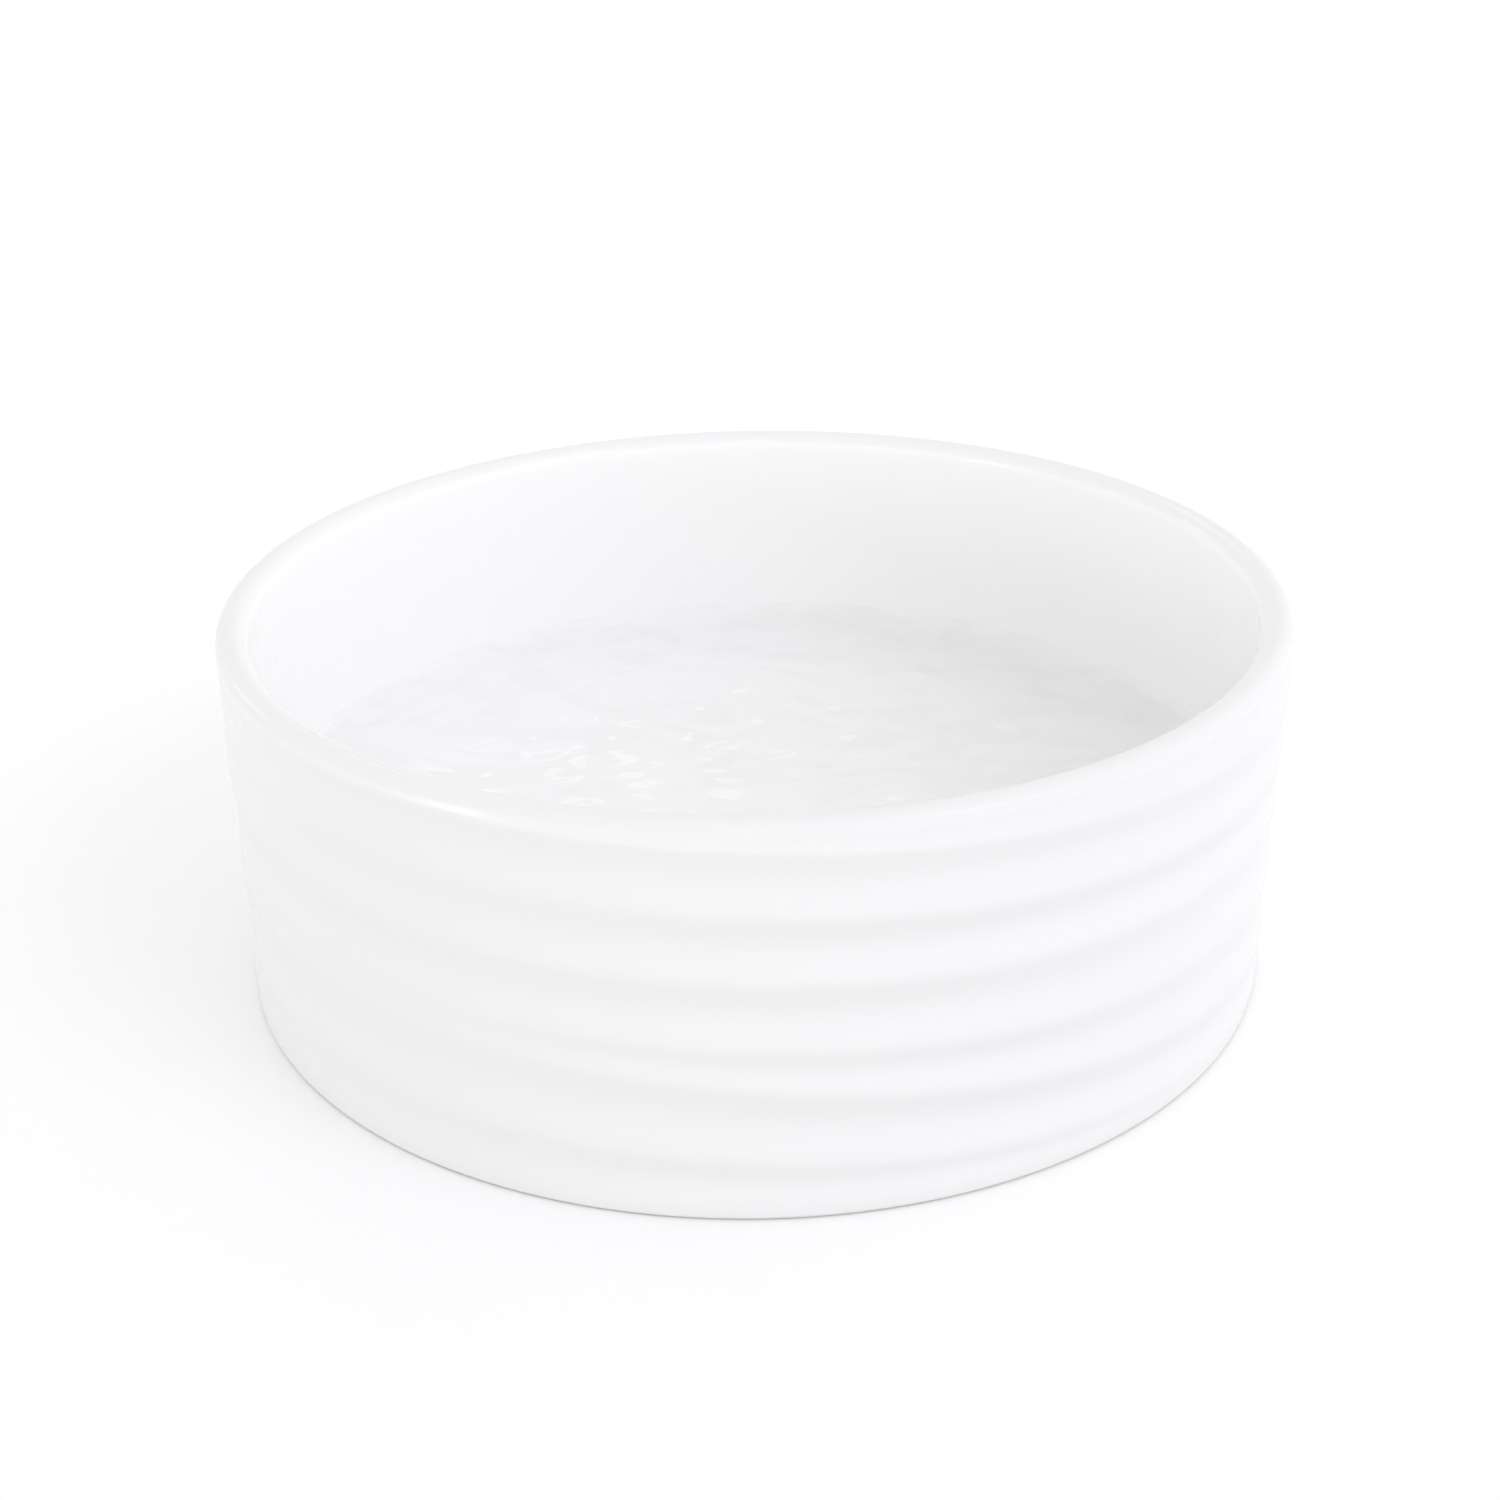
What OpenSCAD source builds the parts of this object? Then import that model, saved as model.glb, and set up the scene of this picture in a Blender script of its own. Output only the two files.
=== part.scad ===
/* [Bowl] */
// Outside diameter of the bowl, at its lip
bowl_d = 190; // [150:1:230]
// Height from the table to the top of the lip
bowl_h = 69; // [60:1:90]
// Thickness of the wall at the lip
wall_t = 5.8; // [4.5:0.1:9]
// How far the wall leans in from the lip down to the foot, on each side
wall_lean = 1.2; // [0.5:0.1:5]
// Thickness of the floor, between the inside and the hollow under the base
floor_t = 9; // [6:0.5:12]
// Radius of the rounded corner between the floor and the wall, inside
corner_r = 10; // [4:1:11]

/* [Foot] */
// Width of the flat ring that the bowl stands on
foot_w = 7; // [5:0.5:14]
// Depth of the hollow under the base
foot_h = 4.5; // [3:0.5:8]
// Radius of the rounded corner inside the hollow
hollow_r = 2.5; // [1:0.5:3]
// Radius that rounds the outer edge of the foot, into the lowest ring
foot_round = 1.2; // [0.6:0.1:2]

/* [Throwing rings] */
// Height of the lowest ring, which is level
ring_first = 4.7; // [4:0.1:8]
// Distance from one ring to the next, which is then evened out up to the lip
ring_pitch = 10.4; // [10:0.1:14]
// Radius of the rounded face of a ring
ring_round = 20; // [14:1:22]
// How much higher an average ring lies at the left of the bowl than at its front
ring_rise = 4.3; // [0:0.1:4.5]
// How far the crests of the rings stay inside the lip
crest_in = 0.3; // [0.1:0.1:1]

/* [Water] */
// Depth of the water in the bowl
water_deep = 16; // [12:0.5:30]
// Clearance between the water and the wall
water_gap = 0.3; // [0.1:0.1:1]

/* [Hidden] */
$fn = 180;

bowl_r = bowl_d / 2;
inside_r = bowl_r - wall_t;
lip_r = wall_t / 2;
lip_z = bowl_h - lip_r;
floor_z = foot_h + floor_t;

// The crests of the rings follow a straight line, from the lowest ring up to just inside the lip
crest_top = bowl_r - crest_in;
foot_r = bowl_r - wall_lean;
function crest_at(z) = foot_r + (crest_top - foot_r) * (z - ring_first) / (lip_z - ring_first);

// The foot's rounded edge touches the table and runs smoothly into the face of the lowest ring
edge_x = foot_r - ring_round + sqrt(pow(ring_round - foot_round, 2) - pow(ring_first - foot_round, 2));
edge_z = ring_first - (ring_first - foot_round) * ring_round / (ring_round - foot_round);
stand_r = edge_x - foot_w;

// Between the lowest ring and the lip the wall has this many even steps, with a tilted ring at each
ring_steps = round((lip_z - ring_first) / ring_pitch);
ring_gap = (lip_z - ring_first) / ring_steps;

// How far each tilted ring sits above its even place, and how much more than average it rises
ring_shift = [0.2, -0.5, -1.2, 0, 0.6];
ring_lift = [1.2, 2, -0.3, -0.8, 0];
function ring_z(k) = ring_first + ring_gap * (k + 1) + ring_shift[k % len(ring_shift)];
function ring_up(k) = ring_rise + ring_lift[k % len(ring_lift)];

// A ring's face runs out into the plain wall at this share of a step from its crest
ring_reach = 0.6;
ring_depth = ring_round - sqrt(ring_round * ring_round - pow(ring_reach * ring_gap, 2));

// The solid of a tilted ring goes this much deeper than the plain wall
ring_bury = 0.3;

// Half section of a round pan: a flat bottom, a rounded corner and a straight side
module half_pan(r, h, corner) {
    translate([0, corner]) square([r, h - corner]);
    square([r - corner, corner]);
    intersection() {
        translate([r - corner, corner]) circle(r = corner);
        translate([r - corner, 0]) square(corner);
    }
}

// Half section of a ring: the part of its rounded face that stands out past a given radius
module half_ring(z, crest, root) {
    intersection() {
        translate([crest - ring_round, z]) circle(r = ring_round);
        translate([root, z - ring_round]) square(2 * ring_round);
    }
}

// The level rings of the section: one on the foot, and one that carries the lip
module level_rings() {
    intersection() {
        union() {
            half_ring(ring_first, foot_r, inside_r);
            half_ring(lip_z, crest_top, inside_r);
        }
        translate([0, edge_z]) square([bowl_r, lip_z - edge_z]);
    }
}

// Half section of the bowl, filled, from the rounded edge of the foot to the round of the lip
module filled_section() {
    polygon([
        [0, 0],
        [edge_x, 0],
        [edge_x, foot_round],
        [foot_r - ring_depth, ring_first],
        [crest_top - ring_depth, lip_z],
        [0, lip_z]
    ]);
    translate([edge_x, foot_round]) circle(r = foot_round);
    level_rings();
    translate([bowl_r - lip_r, lip_z]) circle(r = lip_r);
}

// Half section of the bowl, with its inside and the hollow under its base
module bowl_section() {
    difference() {
        filled_section();
        translate([0, floor_z]) half_pan(inside_r, bowl_h, corner_r);
        translate([0, foot_h]) mirror([0, 1]) half_pan(stand_r, 2 * foot_h, hollow_r);
    }
}

// A ring left by the potter's fingers: a band with a rounded face, high at the left, low at the right
module tilted_ring(k) {
    crest = crest_at(ring_z(k));
    translate([0, 0, ring_z(k)])
        rotate([0, asin(ring_up(k) / crest), 0])
            rotate_extrude() half_ring(0, crest, crest - ring_depth - ring_bury);
}

// The bowl, thrown in one piece
module bowl() {
    color([0.94, 0.94, 0.93]) {
        rotate_extrude() bowl_section();
        for (k = [0 : ring_steps - 2]) tilted_ring(k);
    }
}

// The water that stands in the bowl: it lies on the floor, just clear of the wall
module water() {
    color([0.80, 0.86, 0.88])
        translate([0, 0, floor_z])
            rotate_extrude() half_pan(inside_r - water_gap, water_deep, corner_r);
}

bowl();
water();
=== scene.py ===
# %% [markdown]
# # A white ceramic dog bowl
#
# The bowl is thrown on a wheel: a thick floor, a steep wall with soft finger rings, a
# rounded lip and a foot ring, all in one piece of clay under a white glaze. Water stands
# in it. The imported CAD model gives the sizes, and this script makes the surfaces that a
# camera sees: uneven rings, a glaze that is not quite flat, and ripples on the water.

# %% Load the frame
import math

import bmesh
import bpy
from mathutils import Matrix, Vector


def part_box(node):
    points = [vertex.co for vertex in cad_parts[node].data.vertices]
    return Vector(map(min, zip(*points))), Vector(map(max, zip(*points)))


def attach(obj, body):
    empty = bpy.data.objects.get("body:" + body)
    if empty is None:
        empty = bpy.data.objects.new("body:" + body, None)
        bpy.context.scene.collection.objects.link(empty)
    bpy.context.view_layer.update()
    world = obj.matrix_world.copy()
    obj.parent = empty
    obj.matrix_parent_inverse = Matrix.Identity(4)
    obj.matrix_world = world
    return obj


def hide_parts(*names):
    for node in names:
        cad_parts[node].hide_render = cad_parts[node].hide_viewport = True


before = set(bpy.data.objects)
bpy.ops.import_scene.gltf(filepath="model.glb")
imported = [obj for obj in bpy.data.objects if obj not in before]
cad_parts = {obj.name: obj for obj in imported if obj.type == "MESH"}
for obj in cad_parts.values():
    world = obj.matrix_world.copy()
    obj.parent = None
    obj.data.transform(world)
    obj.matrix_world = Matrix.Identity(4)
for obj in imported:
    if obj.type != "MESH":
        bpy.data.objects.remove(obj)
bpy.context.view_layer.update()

# %% [markdown]
# ## Sizes
#
# Everything is in metres. The heights come from the CAD nodes, so that the looks follow
# the construction. What a box can't tell, such as the wall's thickness, is named here
# once. The lip's radius is written out too, because the flat facets of the CAD's mesh
# make its box a hair too small.

# %% Sizes of the bowl and the water
_, bowl_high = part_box("bowl")
water_low, water_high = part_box("water")

LIP_R = 0.0950
BOWL_H = bowl_high[2]
WALL = 0.0058
WALL_LEAN = 0.0010
FLOOR_Z = water_low[2]
CORNER_R = 0.010
FOOT_WIDTH = 0.007
FOOT_EDGE = 0.0009
FOOT_INNER_EDGE = 0.0006
HOLLOW_H = 0.0045
HOLLOW_CORNER = 0.0025
WATER_Z = water_high[2]

INSIDE_R = LIP_R - WALL
LIP_ROUND = WALL / 2
LIP_Z = BOWL_H - LIP_ROUND
FOOT_R = LIP_R - WALL_LEAN

print(f"bowl {2000 * LIP_R:.0f} mm across and {1000 * BOWL_H:.1f} mm high")
print(f"floor at {1000 * FLOOR_Z:.1f} mm, water at {1000 * WATER_Z:.1f} mm")

# %% [markdown]
# ## The camera
#
# The view of the photograph is solved once, as a camera on a stand would be set up: how
# far away, how high above the table, what it looks at, how much the camera is tipped to
# one side, and how long its lens is. Written this way, each number means something.

# %% Camera
CAMERA_DISTANCE = 0.430
CAMERA_HEIGHT_ANGLE = math.radians(29.56)
CAMERA_TARGET = Vector((-0.0011, 0.0, 0.0361))
CAMERA_ROLL = math.radians(-1.01)
CAMERA_LENS = 53.49
SENSOR = 36.0


def make_camera():
    away = Vector((0, -math.cos(CAMERA_HEIGHT_ANGLE), math.sin(CAMERA_HEIGHT_ANGLE)))
    place = CAMERA_DISTANCE * away
    turn = (CAMERA_TARGET - place).to_track_quat("-Z", "Y").to_matrix()
    turn = turn @ Matrix.Rotation(CAMERA_ROLL, 3, "Z")
    data = bpy.data.cameras.new("photo_view")
    data.lens = CAMERA_LENS
    data.sensor_width = SENSOR
    data.sensor_height = SENSOR
    camera = bpy.data.objects.new("photo_view", data)
    camera.matrix_world = Matrix.Translation(place) @ turn.to_4x4()
    bpy.context.collection.objects.link(camera)
    bpy.context.scene.camera = camera
    return camera


camera = make_camera()
print("camera at", [round(v, 3) for v in camera.matrix_world.translation])

# %% [markdown]
# ## Helpers for materials
#
# A material is a small graph of nodes. These helpers add a node, set its values and link
# it, so that each material below reads as a list of what it is made of.


# %% Add nodes, shaders and materials
def new_material(name):
    material = bpy.data.materials.new(name)
    material.use_nodes = True
    material.node_tree.nodes.clear()
    return material, material.node_tree


def add_node(tree, kind, **values):
    node = tree.nodes.new(kind)
    for name, value in values.items():
        setattr(node, name, value)
    return node


def add_shader(tree, kind, sockets):
    """Adds a node and sets its sockets by their names."""
    node = add_node(tree, kind)
    for name, value in sockets.items():
        node.inputs[name].default_value = value
    return node


def grey(level):
    return level, level, level, 1.0


def mix_shaders(tree, share, first, second):
    node = add_node(tree, "ShaderNodeMixShader")
    for socket, output in zip(node.inputs, (share, first.outputs[0], second.outputs[0])):
        tree.links.new(output, socket)
    return node


def send_out(tree, kind, shader):
    tree.links.new(shader.outputs[0], add_node(tree, kind).inputs[0])


# %% Patterns, ranges and sums
def object_pattern(tree, scale=(1, 1, 1)):
    place = add_node(tree, "ShaderNodeTexCoord")
    mapping = add_shader(tree, "ShaderNodeMapping", {"Scale": scale})
    tree.links.new(place.outputs["Object"], mapping.inputs["Vector"])
    return mapping.outputs["Vector"]


def noise_value(tree, vector, scale, detail=2.0, roughness=0.5, distortion=0.0):
    texture = add_shader(tree, "ShaderNodeTexNoise", {
        "Scale": scale, "Detail": detail, "Roughness": roughness, "Distortion": distortion})
    tree.links.new(vector, texture.inputs["Vector"])
    return texture.outputs["Fac"]


def remap(tree, value, from_low, from_high, to_low=0.0, to_high=1.0, smooth=False):
    node = add_shader(tree, "ShaderNodeMapRange", {
        "From Min": from_low, "From Max": from_high, "To Min": to_low, "To Max": to_high})
    node.clamp = True
    node.interpolation_type = "SMOOTHSTEP" if smooth else "LINEAR"
    tree.links.new(value, node.inputs["Value"])
    return node.outputs["Result"]


def mix_colour(tree, share, first, second):
    """Mixes two colours, each of them a plain one or another node's output."""
    node = add_node(tree, "ShaderNodeMix", data_type="RGBA")
    tree.links.new(share, node.inputs["Factor"])
    for socket, colour in ((node.inputs[6], first), (node.inputs[7], second)):
        if isinstance(colour, tuple):
            socket.default_value = (*colour, 1.0)
        else:
            tree.links.new(colour, socket)
    return node.outputs[2]


def calculate(tree, operation, *values):
    """One sum in a Math node, from plain numbers and other nodes' outputs."""
    node = add_node(tree, "ShaderNodeMath", operation=operation)
    for socket, value in zip(node.inputs, values):
        if isinstance(value, (int, float)):
            socket.default_value = value
        else:
            tree.links.new(value, socket)
    return node.outputs[0]


# %% [markdown]
# ## The studio
#
# A white bowl on white ground is lit from all round, so that no side goes grey. A studio
# with white walls does that, and here the world does it. It is stronger near the horizon
# than overhead, because the upright wall is then as pale as the lip. It is a little
# stronger from the right and weaker from the left, as in the photograph. The camera,
# reflections and the water see it as plain white instead, so that the background stays
# white whatever the light is.

# %% World
OVERHEAD_LIGHT = 0.755
HORIZON_LIGHT = 1.08
HORIZON_SPREAD = 2.0
RIGHT_LIGHT = 0.20
LEFT_SHADE = 0.14


def white_to_the_eye(tree):
    """Is 1 for rays from the camera, from reflections and through the water, and 0 for plain light."""
    path = add_node(tree, "ShaderNodeLightPath")
    seen = calculate(tree, "MAXIMUM", path.outputs["Is Camera Ray"], path.outputs["Is Glossy Ray"])
    return calculate(tree, "MAXIMUM", seen, path.outputs["Is Transmission Ray"])


def studio_light(tree):
    """Plain light: more from low down than from overhead, and more from the right than from the left."""
    place = add_node(tree, "ShaderNodeTexCoord")
    way = add_node(tree, "ShaderNodeSeparateXYZ")
    tree.links.new(place.outputs["Generated"], way.inputs[0])
    right, _, up = way.outputs
    low = calculate(tree, "POWER", calculate(tree, "SUBTRACT", 1.0, up), HORIZON_SPREAD)
    light = calculate(tree, "MULTIPLY_ADD", low, HORIZON_LIGHT, OVERHEAD_LIGHT)
    from_right = calculate(tree, "MULTIPLY", calculate(tree, "MAXIMUM", right, 0.0), RIGHT_LIGHT)
    from_left = calculate(tree, "MULTIPLY", calculate(tree, "MINIMUM", right, 0.0), LEFT_SHADE)
    return calculate(tree, "ADD", light, calculate(tree, "ADD", from_right, from_left))


def make_world():
    world = bpy.data.worlds.new("studio")
    world.use_nodes = True
    tree = world.node_tree
    tree.nodes.clear()
    light = add_shader(tree, "ShaderNodeBackground", {"Color": grey(1.0)})
    tree.links.new(studio_light(tree), light.inputs["Strength"])
    white = add_shader(tree, "ShaderNodeBackground", {"Color": grey(1.0), "Strength": 1.0})
    send_out(tree, "ShaderNodeOutputWorld", mix_shaders(tree, white_to_the_eye(tree), light, white))
    bpy.context.scene.world = world


make_world()
bpy.context.scene.view_settings.view_transform = "Standard"
print(f"world: {OVERHEAD_LIGHT} overhead, {OVERHEAD_LIGHT + HORIZON_LIGHT:.3f} at the horizon")

# %% [markdown]
# ## The floor
#
# The ground is a pure white sheet. For the light that it throws back it is a matt pale
# grey, so that the undersides of the rings stay a little darker. For the camera, for
# reflections and through the water it is white, and only part of that white is its own
# glow, so that the bowl's soft shadow still falls on it.

# %% Floor
FLOOR_SIZE = 6.0
FLOOR_GREY = 0.64
SEEN_GREY = 0.96
SEEN_GLOW = 0.05


def make_paper():
    """The floor's material: a grey sheet for plain light, and a nearly white one for the eye."""
    material, tree = new_material("studio_floor")
    sheet = add_shader(tree, "ShaderNodeBsdfDiffuse", {"Color": grey(FLOOR_GREY)})
    shaded = add_shader(tree, "ShaderNodeBsdfDiffuse", {"Color": grey(SEEN_GREY)})
    glow = add_shader(tree, "ShaderNodeEmission", {"Strength": SEEN_GLOW})
    white = add_node(tree, "ShaderNodeAddShader")
    tree.links.new(shaded.outputs[0], white.inputs[0])
    tree.links.new(glow.outputs[0], white.inputs[1])
    send_out(tree, "ShaderNodeOutputMaterial", mix_shaders(tree, white_to_the_eye(tree), sheet, white))
    return material


def make_floor():
    bm = bmesh.new()
    bmesh.ops.create_grid(bm, x_segments=1, y_segments=1, size=FLOOR_SIZE / 2)
    mesh = bpy.data.meshes.new("studio_floor")
    bm.to_mesh(mesh)
    bm.free()
    mesh.materials.append(make_paper())
    floor = bpy.data.objects.new("studio_floor", mesh)
    bpy.context.collection.objects.link(floor)


make_floor()
print(f"floor {FLOOR_SIZE} m across")

# %% [markdown]
# ## The lamps
#
# Soft lamps give the form to a white thing in white light. The strongest one stands at
# the front right, a shade violet, where the photographed wall is brightest. A low one at
# the left keeps that side pale and hardly reaches into the bowl, so that the inner wall
# opposite stays in shade. Three weak ones stand for windows: they are there for their
# small reflections, on the lip, on the left edge and on the ripples. A sun lamp with a
# wide angle does this, because it lights every spot from the same side.

# %% Lamps
# bearing, height and softness in degrees, strength, colour
LAMPS = {
    "front_right": (-36, 38, 30, 0.107, (0.81, 0.76, 1.0)),
    "low_left": (-150, 3, 14, 0.100, (1.0, 1.0, 1.0)),
    "window_front": (-90, 52, 5, 0.014, (0.96, 0.95, 1.0)),
    "window_left": (141, 17, 12, 0.016, (0.92, 0.92, 1.0)),
    "window_back": (104, 36, 16, 0.016, (1.0, 1.0, 1.0)),
}


def add_lamp(name, bearing, height, softness, strength, colour):
    """A soft lamp far away. Strength 1 lights a surface that faces it as an even white world would."""
    data = bpy.data.lights.new(name, "SUN")
    data.angle = math.radians(softness)
    data.energy = math.pi * strength
    data.color = colour
    bearing, height = math.radians(bearing), math.radians(height)
    flat = math.cos(height)
    way = Vector((flat * math.cos(bearing), flat * math.sin(bearing), math.sin(height)))
    lamp = bpy.data.objects.new(name, data)
    lamp.matrix_world = way.to_track_quat("Z", "Y").to_matrix().to_4x4()
    bpy.context.collection.objects.link(lamp)
    print(f"lamp {name}: strength {strength}")


for name, values in LAMPS.items():
    add_lamp(name, *values)

# %% [markdown]
# ## The bowl's shape
#
# A thrown bowl is a solid of revolution, so half of its section is drawn as a chain of
# points and spun once round the axis. The chain starts at the middle of the floor, runs
# out and up the inside, over the lip, down the outside, round the foot and back under the
# base. Spinning the chain with its doubles merged gives one closed skin.


# %% Section helpers
def run_line(points, end, spacing):
    start = points[-1]
    count = max(1, math.ceil(math.dist(start, end) / spacing))
    for i in range(1, count + 1):
        share = i / count
        points.append((start[0] + (end[0] - start[0]) * share, start[1] + (end[1] - start[1]) * share))


def run_arc(points, centre, radius, start, end, steps):
    for i in range(1, steps + 1):
        angle = math.radians(start + (end - start) * i / steps)
        points.append((centre[0] + radius * math.cos(angle), centre[1] + radius * math.sin(angle)))


# %% The bowl's half section
PLAIN_SPACING = 0.006
WALL_SPACING = 0.0006
CORNER_STEPS = 12
LIP_STEPS = 22
FOOT_STEPS = 6
FOOT_INNER_STEPS = 4


def run_inside(points):
    run_line(points, (INSIDE_R - CORNER_R, FLOOR_Z), PLAIN_SPACING)
    run_arc(points, (INSIDE_R - CORNER_R, FLOOR_Z + CORNER_R), CORNER_R, -90, 0, CORNER_STEPS)
    run_line(points, (INSIDE_R, LIP_Z), 2 * WALL_SPACING)


def run_outside(points):
    run_arc(points, (LIP_R - LIP_ROUND, LIP_Z), LIP_ROUND, 180, 0, LIP_STEPS)
    run_line(points, (FOOT_R, FOOT_EDGE), WALL_SPACING)
    run_arc(points, (FOOT_R - FOOT_EDGE, FOOT_EDGE), FOOT_EDGE, 0, -90, FOOT_STEPS)


def run_foot(points):
    stand_in = FOOT_R - FOOT_EDGE - FOOT_WIDTH
    run_line(points, (stand_in + FOOT_INNER_EDGE, 0), PLAIN_SPACING)
    inner_edge = (stand_in + FOOT_INNER_EDGE, FOOT_INNER_EDGE)
    run_arc(points, inner_edge, FOOT_INNER_EDGE, 270, 180, FOOT_INNER_STEPS)
    run_line(points, (stand_in, HOLLOW_H - HOLLOW_CORNER), PLAIN_SPACING)
    run_arc(points, (stand_in - HOLLOW_CORNER, HOLLOW_H - HOLLOW_CORNER), HOLLOW_CORNER, 0, 90, FOOT_STEPS)
    run_line(points, (0.0, HOLLOW_H), PLAIN_SPACING)


section = [(0.0, FLOOR_Z)]
run_inside(section)
run_outside(section)
run_foot(section)
print("points in the bowl's section:", len(section))

# %% Spin a section round the axis
SAME_SPOT = 1e-6


def spin_section(points, steps):
    bm = bmesh.new()
    verts = [bm.verts.new((x, 0, z)) for x, z in points]
    edges = [bm.edges.new(pair) for pair in zip(verts, verts[1:])]
    bmesh.ops.spin(bm, geom=verts + edges, cent=(0, 0, 0), axis=(0, 0, 1),
                   angle=2 * math.pi, steps=steps, use_merge=True)
    bmesh.ops.remove_doubles(bm, verts=bm.verts, dist=SAME_SPOT)
    bmesh.ops.recalc_face_normals(bm, faces=bm.faces)
    return bm


# %% [markdown]
# ## The finger rings
#
# The potter pulls the wall up with a finger, which leaves shallow steps round it. Below
# each crest the wall drops back quickly, and then it leans out again slowly until the
# next crest. The crests are not level: they run downhill from left to right, and they
# fade away from the front. Each is described by a few plain numbers, and the wall between
# two of them follows one rounded curve. Moving the spun skin in by that curve keeps the
# rings real shape, which shows in the outline and not only in the shading.

# %% The crests of the rings
# height, fall from left to right, bend, depth below it, angle where it is deepest,
# and the share of that depth which is left at the left and at the right
RINGS = (
    (0.0639, 0.0048, 0.0009, 0.00062, -74, 0.15, 0.45),
    (0.0526, 0.0044, 0.0010, 0.00072, -74, 0.15, 0.45),
    (0.0419, 0.0033, 0.0005, 0.00072, -76, 0.30, 0.45),
    (0.0292, 0.0040, 0.0015, 0.00062, -72, 0.05, 0.45),
    (0.0213, 0.0088, 0.0025, 0.00080, -76, 0.25, 0.45),
    (0.0085, 0.0059, 0.0021, 0.00058, -80, 0.25, 0.45),
)
LAST_CREST = 0.0021
RING_FADE = 9


def ring_crests(angle):
    """The crests above each other at one angle, as height and the depth below each."""
    crests = []
    for height, fall, bend, depth, deepest, left, right in RINGS:
        z = height - fall * math.cos(angle) - bend * math.cos(2 * angle)
        kept = left + (right - left) * (1 + math.cos(angle)) / 2
        facing = (1 + math.cos(angle - math.radians(deepest))) / 2
        crests.append((z, depth * (kept + (1 - kept) * facing ** RING_FADE)))
    crests.append((LAST_CREST, 0.0))
    return crests


FRONT = -math.pi / 2
front_crests = ring_crests(FRONT)
print("crests at the front, mm:", [round(1000 * z, 1) for z, _ in front_crests])

# %% The valleys between the crests
FULL_GAP = 0.0095
LEAST_GAP = 0.0008
VALLEY_SKEW = 0.88
VALLEY_ROUND = 1.7
MID_VALLEY = 0.004


def ring_relief(crests, z):
    """How far the wall is set back at this height, between the crests round it."""
    for (above, depth), (below, _) in zip(crests, crests[1:]):
        gap = above - below
        if below <= z < above and gap > LEAST_GAP:
            share = (above - z) / gap
            curve = math.sin(math.pi * share ** VALLEY_SKEW) ** VALLEY_ROUND
            return depth * min(1.0, gap / FULL_GAP) * curve
    return 0.0


set_back = ring_relief(front_crests, front_crests[0][0] - MID_VALLEY)
print(f"below the top crest the front wall is set back by {1000 * set_back:.2f} mm")

# %% [markdown]
# ## The uneven wall
#
# Clay is soft when it is thrown, so the wall isn't a true circle. It leans out a little
# between the top ring and the lip, it swells twice at the left, and the foot sits a
# little left of the lip. Each of these is one smooth function of the angle and the
# height, because a hand leaves slow changes and never a step.

# %% The shoulder and the left side
SHOULDER_SETBACK = 0.00035
SHOULDER_FACING = math.radians(-55)
SHOULDER_FADE = 3
SHOULDER_START = 0.001
LEFT_FADE = 6
LEFT_SWELL = 0.00022
LEFT_SWELL_HEIGHT = 0.048
LEFT_SWELL_STEP = 0.022
LEFT_SWELL_TOP = (0.052, 0.060)
LEFT_SWELL_FOOT = (0.002, 0.010)
LEFT_LIP_IN = 0.00035
LEFT_LIP_RANGE = (0.050, 0.064)


def smooth_step(value, low, high):
    share = min(1.0, max(0.0, (value - low) / (high - low)))
    return share * share * (3 - 2 * share)


def shoulder(crests, angle, z):
    """Between the lip and the first crest the wall leans out a little, most at the right of the front."""
    top = crests[0][0]
    if z <= top:
        return 0.0
    facing = 0.5 * (1 + math.cos(angle - SHOULDER_FACING))
    return SHOULDER_SETBACK * facing ** SHOULDER_FADE * smooth_step(z, top - SHOULDER_START, LIP_Z)


def left_side(angle, z):
    """At the left the wall swells twice, and the lip stays a little inside it."""
    facing = max(0.0, -math.cos(angle)) ** LEFT_FADE
    wave = 1 - math.cos(2 * math.pi * (z - LEFT_SWELL_HEIGHT) / LEFT_SWELL_STEP)
    swell = LEFT_SWELL * wave * (1 - smooth_step(z, *LEFT_SWELL_TOP)) * smooth_step(z, *LEFT_SWELL_FOOT)
    return facing * (swell + LEFT_LIP_IN * smooth_step(z, *LEFT_LIP_RANGE))


# %% Shape the spun skin
FOOT_OFFSET = 0.0006
RING_END = (LIP_Z - 0.002, LIP_Z + 0.001)
LIP_TOP = BOWL_H - 0.0004
UNDER_FLOOR = FLOOR_Z - 0.001


def wall_set_back(crests, angle, z):
    near = [ring_relief(crests, z + step * WALL_SPACING) for step in (-1, 0, 1)]
    back = (near[0] + 2 * near[1] + near[2]) / 4
    back *= 1 - smooth_step(z, *RING_END)
    uneven = shoulder(crests, angle, z) + left_side(angle, z)
    return back + uneven * (1 - smooth_step(z, LIP_Z, LIP_TOP))


def shape_bowl(bm):
    """Moves the outer skin: rings outside, and a foot that sits a little left of the lip."""
    crests_at = {}
    for vert in bm.verts:
        x, y, z = vert.co
        radius = math.hypot(x, y)
        if radius <= LIP_R - LIP_ROUND and z >= UNDER_FLOOR:
            continue
        vert.co.x -= FOOT_OFFSET * (1 - min(1.0, z / LIP_Z))
        if z < FOOT_EDGE or radius < LIP_R - LIP_ROUND or z > LIP_TOP:
            continue
        angle = math.atan2(y, x)
        key = round(angle, 4)
        if key not in crests_at:
            crests_at[key] = ring_crests(angle)
        back = wall_set_back(crests_at[key], angle, z)
        vert.co.x -= back * x / radius
        vert.co.y -= back * y / radius


# %% Make the bowl
ROUND_STEPS = 288


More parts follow.
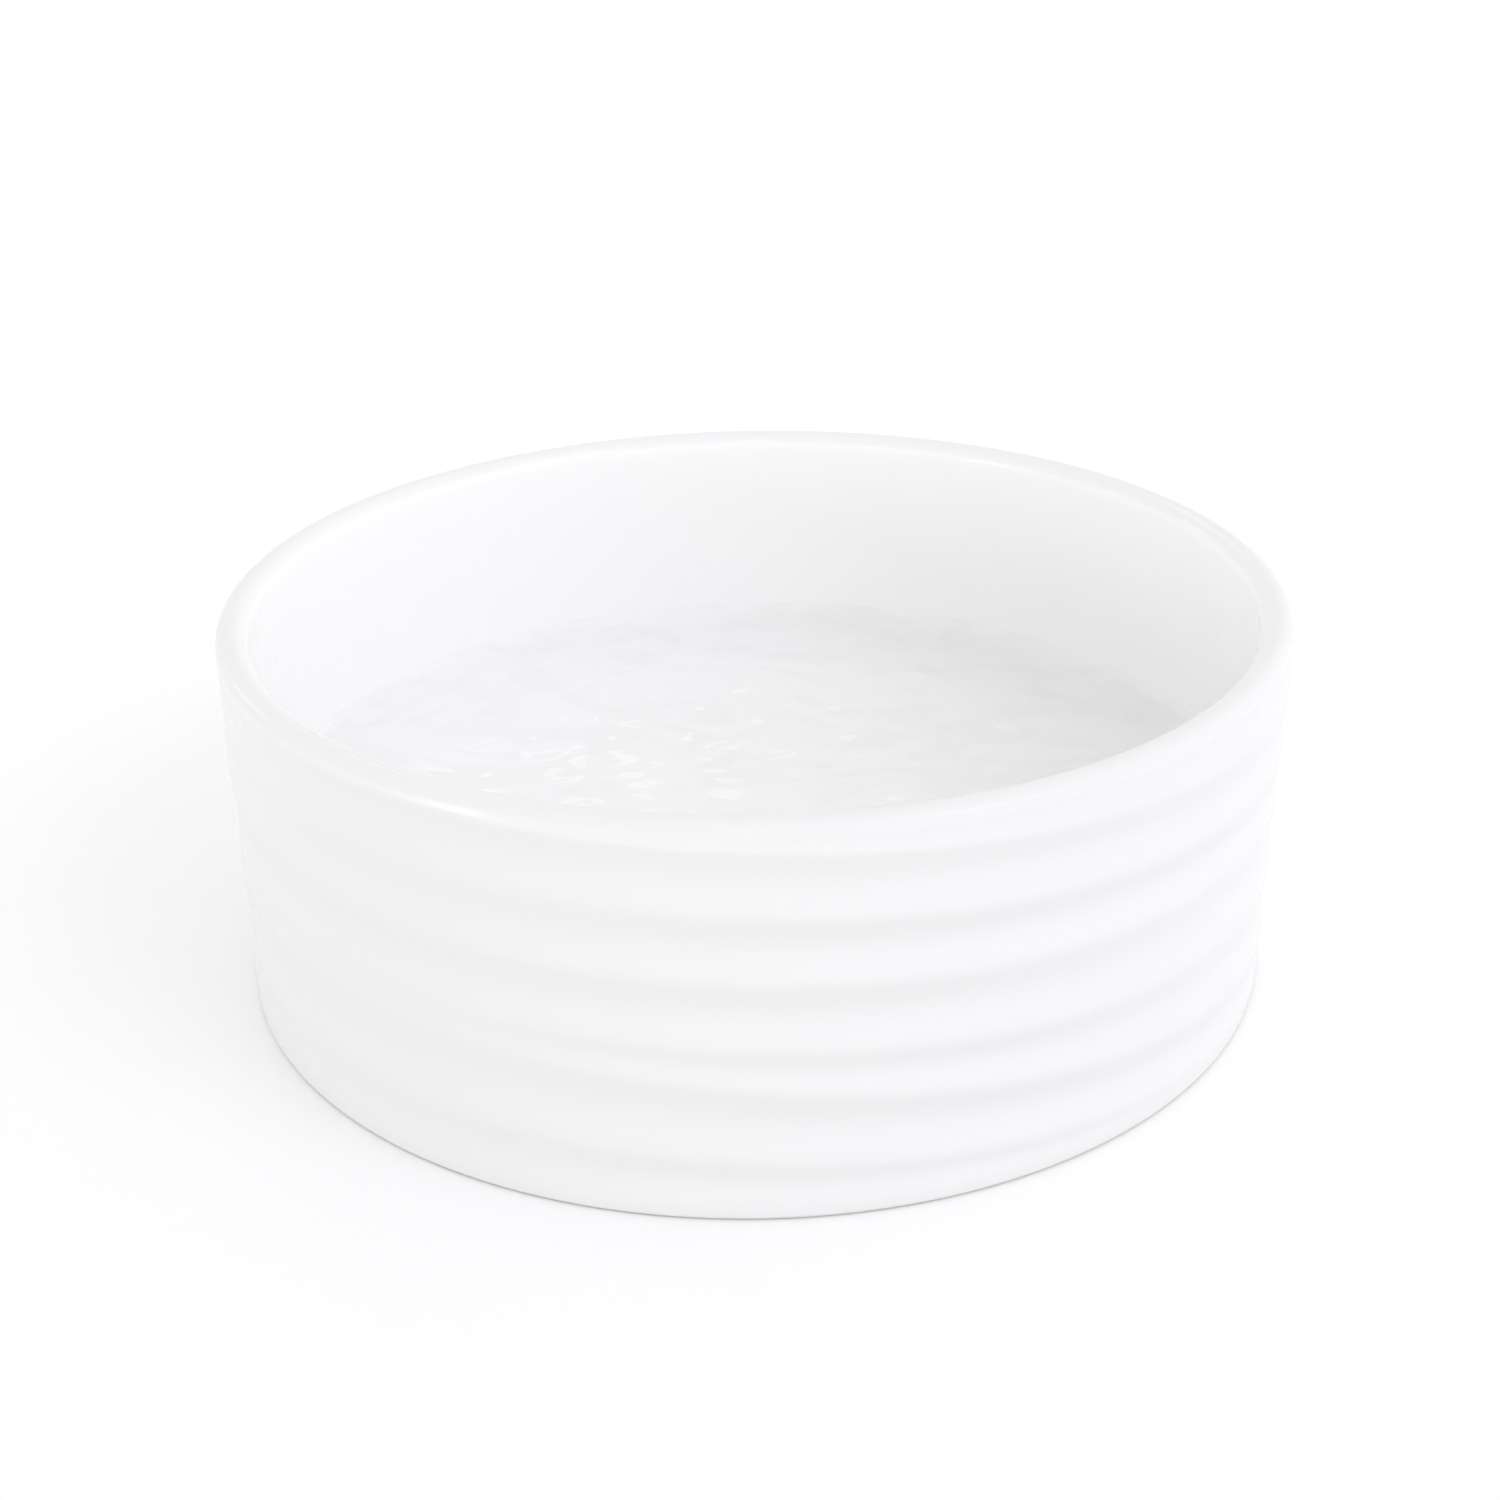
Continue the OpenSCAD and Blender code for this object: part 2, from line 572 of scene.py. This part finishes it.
def finish_piece(bm, name):
    mesh = bpy.data.meshes.new(name)
    bm.to_mesh(mesh)
    bm.free()
    mesh.shade_smooth()
    piece = bpy.data.objects.new(name, mesh)
    bpy.context.collection.objects.link(piece)
    print(f"faces of {name}: {len(mesh.polygons)}")
    return piece


bowl_bm = spin_section(section, ROUND_STEPS)
shape_bowl(bowl_bm)
glazed_bowl = finish_piece(bowl_bm, "glazed_bowl")
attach(glazed_bowl, "root")
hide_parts("bowl")

# %% [markdown]
# ## The glaze
#
# White glaze is smooth but not flat. Its colour is nearly even, and outside it shows a few
# dark specks of iron from the clay. Over the lip it is painted greyer, as painted shade on a
# top that gets little light from overhead, and low inside it is painted whiter, as painted
# light on the lower wall and the floor. Its surface swells a little like the skin of an
# orange, and it is a shade shinier inside. Under the foot the clay is wiped clean of glaze,
# so that the bowl doesn't stick to the kiln shelf, and the brown of that unglazed band at
# the foot's edge stands partly for the clay and partly for painted shade where the foot
# meets the floor. One material does it all, with masks that say where on the bowl a point
# is, because the glaze is one skin with no seams.

# %% Where on the bowl a point is
INSIDE_EDGE = (LIP_R - 0.0030, LIP_R - 0.0048)
INSIDE_START = (0.010, 0.012)
# heights of the lip's top, which is painted greyer as painted shade for a top that gets little light from
# overhead
RIM_RANGE = (BOWL_H - 0.0024, BOWL_H - 0.0010)
# heights over which the inside is painted whiter, as painted light on the lower wall and the floor
PAINTED_LIGHT_HEIGHTS = (0.030, 0.064)
# top of the unglazed band at the foot's edge, whose brown is partly clay and partly painted contact shade
GLAZE_LINE = 0.0005
GLAZE_LINE_WIDTH = 0.0003


def glaze_masks(tree, place):
    """Shares from 0 to 1: inside the bowl, the lip's top for its painted shade, low inside for its painted
    light, and the unglazed band at the foot's edge with its painted contact shade.
    """
    parts = add_node(tree, "ShaderNodeSeparateXYZ")
    tree.links.new(place, parts.inputs[0])
    x, y, height = parts.outputs
    squares = calculate(tree, "ADD", calculate(tree, "MULTIPLY", x, x), calculate(tree, "MULTIPLY", y, y))
    across = calculate(tree, "SQRT", squares)
    inside = calculate(tree, "MULTIPLY", remap(tree, across, *INSIDE_EDGE, smooth=True),
                       remap(tree, height, *INSIDE_START))
    # the lip's top, for its painted shade
    rim = remap(tree, height, *RIM_RANGE, smooth=True)
    # low inside, for its painted light
    painted_light_low = remap(tree, height, *PAINTED_LIGHT_HEIGHTS, 1.0, 0.0)
    # the unglazed band at the foot's edge: unglazed clay, and painted shade where the foot meets the floor
    bare_and_contact_shade = remap(tree, height, GLAZE_LINE, GLAZE_LINE - GLAZE_LINE_WIDTH)
    return inside, rim, painted_light_low, bare_and_contact_shade


# %% Specks of iron
SPECK = (0.42, 0.40, 0.37)
SPECK_SCALE = 65
SPECK_RADIUS = 0.00024


def iron_specks(tree, place, inside):
    """Is 1 in a small dot at the middle of each Voronoi cell that the outer surface happens to cut."""
    cells = add_shader(tree, "ShaderNodeTexVoronoi", {"Scale": SPECK_SCALE})
    tree.links.new(place, cells.inputs["Vector"])
    edge = SPECK_RADIUS * SPECK_SCALE
    dot = remap(tree, cells.outputs["Distance"], edge, edge * 0.5, smooth=True)
    return calculate(tree, "MULTIPLY", dot, calculate(tree, "SUBTRACT", 1.0, inside))


# %% The glaze's colour
GLAZE_OUTSIDE = (0.894, 0.894, 0.892)
GLAZE_THIN = (0.882, 0.883, 0.882)
GLAZE_INSIDE = (0.898, 0.898, 0.895)
# painted light: the lower inner wall and floor are painted whiter so that they look brighter lit
LOW_INSIDE_PAINTED_LIGHT = (0.974, 0.974, 0.970)
# painted shade: the grey of the lip's top, darker than the glaze so that the top looks less lit
RIM_PAINTED_SHADE = (0.838, 0.839, 0.838)
# unglazed clay at the foot's edge, darkened as painted shade where the foot meets the floor
BARE_CLAY_AND_CONTACT_SHADE = (0.70, 0.64, 0.55)
CLOUD_SCALE = 25
CLOUD_DETAIL = 3


def glaze_colour(tree, place, masks):
    inside, rim, painted_light_low, bare_and_contact_shade = masks
    clouds = noise_value(tree, place, CLOUD_SCALE, CLOUD_DETAIL)
    outside = mix_colour(tree, clouds, GLAZE_OUTSIDE, GLAZE_THIN)
    # painted light low inside
    within = mix_colour(tree, painted_light_low, GLAZE_INSIDE, LOW_INSIDE_PAINTED_LIGHT)
    colour = mix_colour(tree, inside, outside, within)
    # painted shade on the lip's top
    colour = mix_colour(tree, rim, colour, RIM_PAINTED_SHADE)
    colour = mix_colour(tree, iron_specks(tree, place, inside), colour, SPECK)
    # unglazed clay and painted contact shade at the foot's edge
    return mix_colour(tree, bare_and_contact_shade, colour, BARE_CLAY_AND_CONTACT_SHADE)


# %% White glaze
GLAZE_IOR = 1.5
GLAZE_SPECULAR = 0.30
SHEEN_OUTSIDE = 0.24
SHEEN_INSIDE = 0.14
DRY_CLAY = 0.9
SKIN_SCALE = 180
SKIN_DEPTH = 0.0006
SKIN_STRENGTH = 0.10


def make_glaze():
    material, tree = new_material("white_glaze")
    shader = add_shader(tree, "ShaderNodeBsdfPrincipled", {
        "IOR": GLAZE_IOR, "Specular IOR Level": GLAZE_SPECULAR})
    place = object_pattern(tree)
    masks = glaze_masks(tree, place)
    inside, _, _, bare_and_contact_shade = masks
    tree.links.new(glaze_colour(tree, place, masks), shader.inputs["Base Color"])
    glossy = remap(tree, inside, 0.0, 1.0, SHEEN_OUTSIDE, SHEEN_INSIDE)
    dry = calculate(tree, "MULTIPLY", bare_and_contact_shade, DRY_CLAY)
    tree.links.new(calculate(tree, "MAXIMUM", glossy, dry), shader.inputs["Roughness"])
    bump = add_shader(tree, "ShaderNodeBump", {"Strength": SKIN_STRENGTH, "Distance": SKIN_DEPTH})
    tree.links.new(noise_value(tree, place, SKIN_SCALE), bump.inputs["Height"])
    tree.links.new(bump.outputs["Normal"], shader.inputs["Normal"])
    send_out(tree, "ShaderNodeOutputMaterial", shader)
    return material


glaze = make_glaze()
glazed_bowl.data.materials.append(glaze)
print("nodes in the glaze:", len(glaze.node_tree.nodes))

# %% [markdown]
# ## The water
#
# Water is a closed body too: its top, and a skin that follows the inside of the bowl. It
# is spun like the bowl and sunk by a hair into the glaze, because an air gap between
# them would mirror the light inside the water. At the wall it creeps up in a meniscus.

# %% The water's half section
WATER_SINK = 0.00005
RIPPLE_SPACING = 0.0009
MENISCUS_REACH = 0.0011
MENISCUS_ROWS = 4


def water_section():
    side = INSIDE_R + WATER_SINK
    points = [(0.0, FLOOR_Z - WATER_SINK)]
    run_line(points, (INSIDE_R - CORNER_R, FLOOR_Z - WATER_SINK), PLAIN_SPACING)
    run_arc(points, (INSIDE_R - CORNER_R, FLOOR_Z + CORNER_R), CORNER_R + WATER_SINK, -90, 0, CORNER_STEPS)
    run_line(points, (side, WATER_Z), PLAIN_SPACING / 3)
    run_line(points, (side - 3 * MENISCUS_REACH, WATER_Z), MENISCUS_REACH / MENISCUS_ROWS)
    run_line(points, (0.0, WATER_Z), RIPPLE_SPACING)
    return points


print("points in the water's section:", len(water_section()))

# %% [markdown]
# ## Ripples
#
# Water that was just poured still moves. Waves from many sides cross each other, and a
# sum of sine waves does the same: long ones give the slow swell that bends the floor
# below, and short ones catch the light as glints. Real geometry is used and not a bump,
# so that the light also bends through the water as it should.

# %% Ripples
# wavelength, height, direction in degrees, phase
RIPPLES = (
    (0.0270, 0.000150, 12, 0.3),
    (0.0215, 0.000140, 68, 1.1),
    (0.0180, 0.000120, 131, 2.3),
    (0.0147, 0.000100, 195, 0.7),
    (0.0121, 0.000080, 252, 4.0),
    (0.0103, 0.000070, 305, 5.2),
    (0.0089, 0.000060, 78, 2.9),
    (0.0076, 0.000050, 108, 3.6),
    (0.0064, 0.000040, 62, 0.9),
    (0.0053, 0.000026, 95, 5.0),
)
SHARP_CRESTS = 0.35


def ripple_height(x, y):
    """Waves from many sides. Each has a crest a little sharper than its trough."""
    height = 0.0
    for length, size, direction, phase in RIPPLES:
        heading = math.radians(direction)
        along = x * math.cos(heading) + y * math.sin(heading)
        wave = 2 * math.pi * along / length + phase
        height += size * (math.sin(wave) + SHARP_CRESTS * math.sin(2 * wave + math.pi / 2))
    return height


print(f"ripple at the middle: {1000 * ripple_height(0, 0):.2f} mm")

# %% Make the water
WATER_STEPS = 420
CALM_REACH = 0.004
MENISCUS_HEIGHT = 0.0011
TOP_ROWS = 1e-5


def shape_water(bm):
    for vert in bm.verts:
        if vert.co.z < WATER_Z - TOP_ROWS:
            continue
        from_wall = max(0.0, INSIDE_R - vert.co.xy.length)
        calm = 1 - math.exp(-from_wall / CALM_REACH)
        vert.co.z += calm * ripple_height(vert.co.x, vert.co.y)
        vert.co.z += MENISCUS_HEIGHT * math.exp(-from_wall / MENISCUS_REACH)


water_bm = spin_section(water_section(), WATER_STEPS)
shape_water(water_bm)
still_water = finish_piece(water_bm, "still_water")
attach(still_water, "root")
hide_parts("water")

# %% [markdown]
# ## Clear water
#
# Water is clear and bends light. Ripples also gather the light into a net of pale patches
# on the floor below. A renderer finds those slowly, so a soft noise in the water's colour
# stands for them. For shadows and for plain light the water is left out, so that the
# bowl's floor is lit as brightly as it is under real water.

# %% Clear water
WATER_DEEP = (0.953, 0.953, 0.947)
WATER_BRIGHT = (1.0, 1.0, 1.0)
WATER_IOR = 1.333
NET_STRETCH = (0.75, 1.05, 1)
NET_SCALE = 66
NET_DETAIL = 1.2
NET_ROUGHNESS = 0.4
NET_DISTORTION = 1.4
NET_RANGE = (0.37, 0.55)


def cast_light(tree):
    """The net of pale patches that the ripples gather, as a colour."""
    place = object_pattern(tree, NET_STRETCH)
    net = noise_value(tree, place, NET_SCALE, NET_DETAIL, NET_ROUGHNESS, NET_DISTORTION)
    return mix_colour(tree, remap(tree, net, *NET_RANGE, smooth=True), WATER_DEEP, WATER_BRIGHT)


def make_water():
    material, tree = new_material("water")
    shader = add_shader(tree, "ShaderNodeBsdfPrincipled", {
        "Roughness": 0.0, "IOR": WATER_IOR, "Transmission Weight": 1.0})
    tree.links.new(cast_light(tree), shader.inputs["Base Color"])
    clear = add_node(tree, "ShaderNodeBsdfTransparent")
    path = add_node(tree, "ShaderNodeLightPath")
    light = calculate(tree, "MAXIMUM", path.outputs["Is Shadow Ray"], path.outputs["Is Diffuse Ray"])
    send_out(tree, "ShaderNodeOutputMaterial", mix_shaders(tree, light, shader, clear))
    return material


water = make_water()
still_water.data.materials.append(water)
print("nodes in the water:", len(water.node_tree.nodes))
